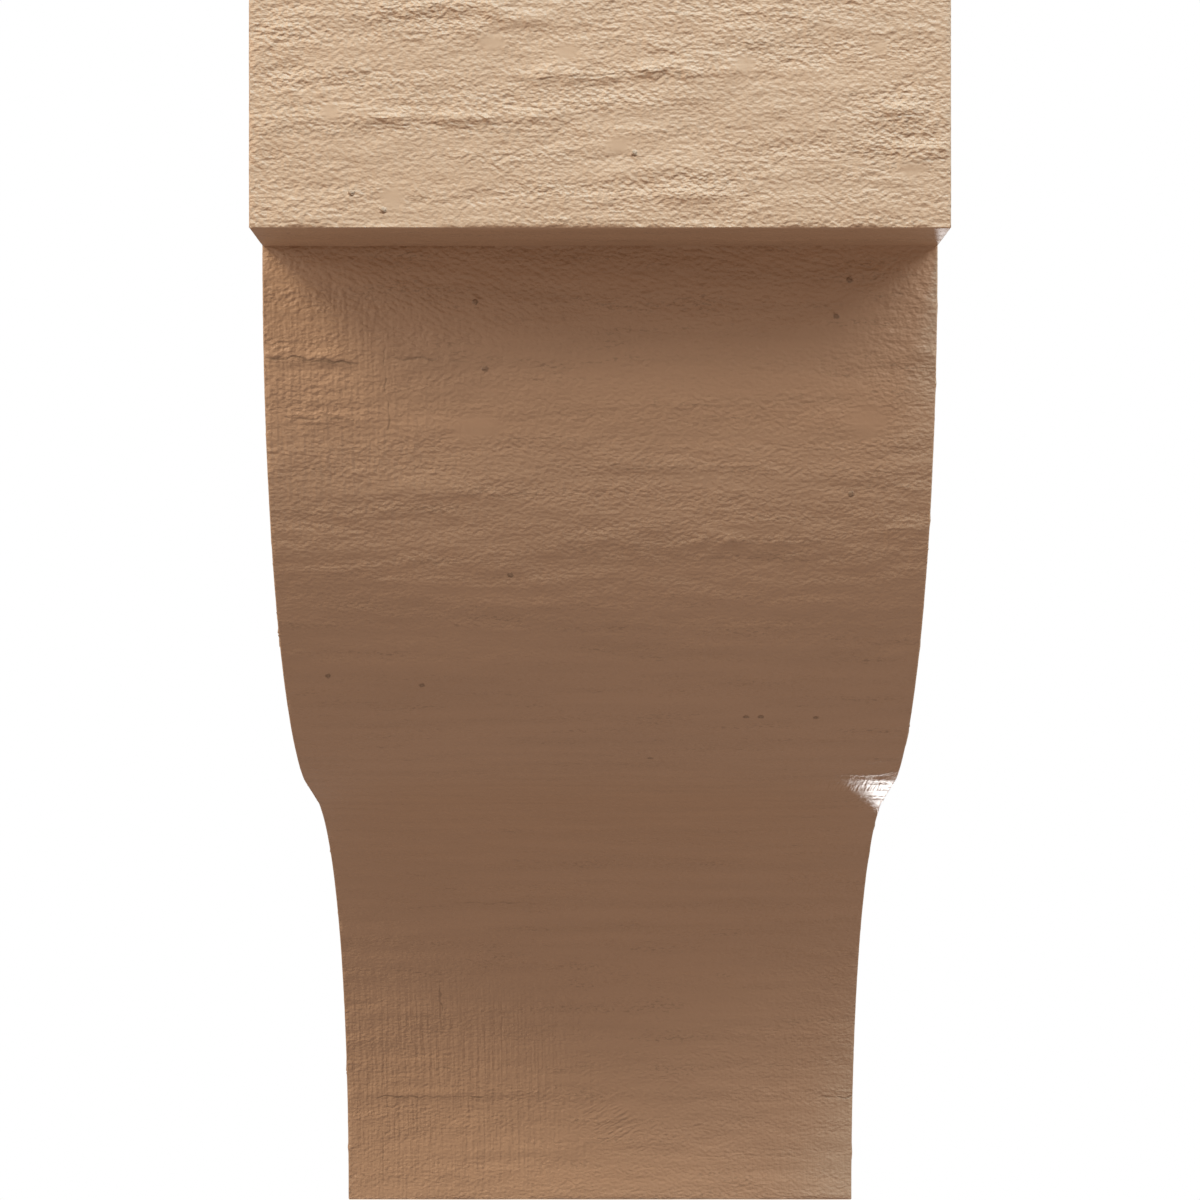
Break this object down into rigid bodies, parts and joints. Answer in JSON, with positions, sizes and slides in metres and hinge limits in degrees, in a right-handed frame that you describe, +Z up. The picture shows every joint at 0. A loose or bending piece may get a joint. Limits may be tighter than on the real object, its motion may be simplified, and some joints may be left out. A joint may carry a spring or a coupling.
{
  "type": "corbel",
  "caption": "Wall corbel in timber-look moulded foam: a square cap over a front that sweeps back to a narrow foot in a reverse curve.",
  "frame": {"origin": "centre of the flat back face, where the corbel is fixed to the wall", "axes": "+Z up, +Y out of the back face into the wall, so the corbel projects along -Y, +X across its width"},
  "size_m": [0.1524, 0.3048, 0.3048],
  "materials": {
    "tan_primer": "tan primer with a dull satin sheen over moulded rough-sawn wood grain"
  },
  "bodies": {
    "root": {"corbel": "tan_primer"}
  },
  "joints": []
}
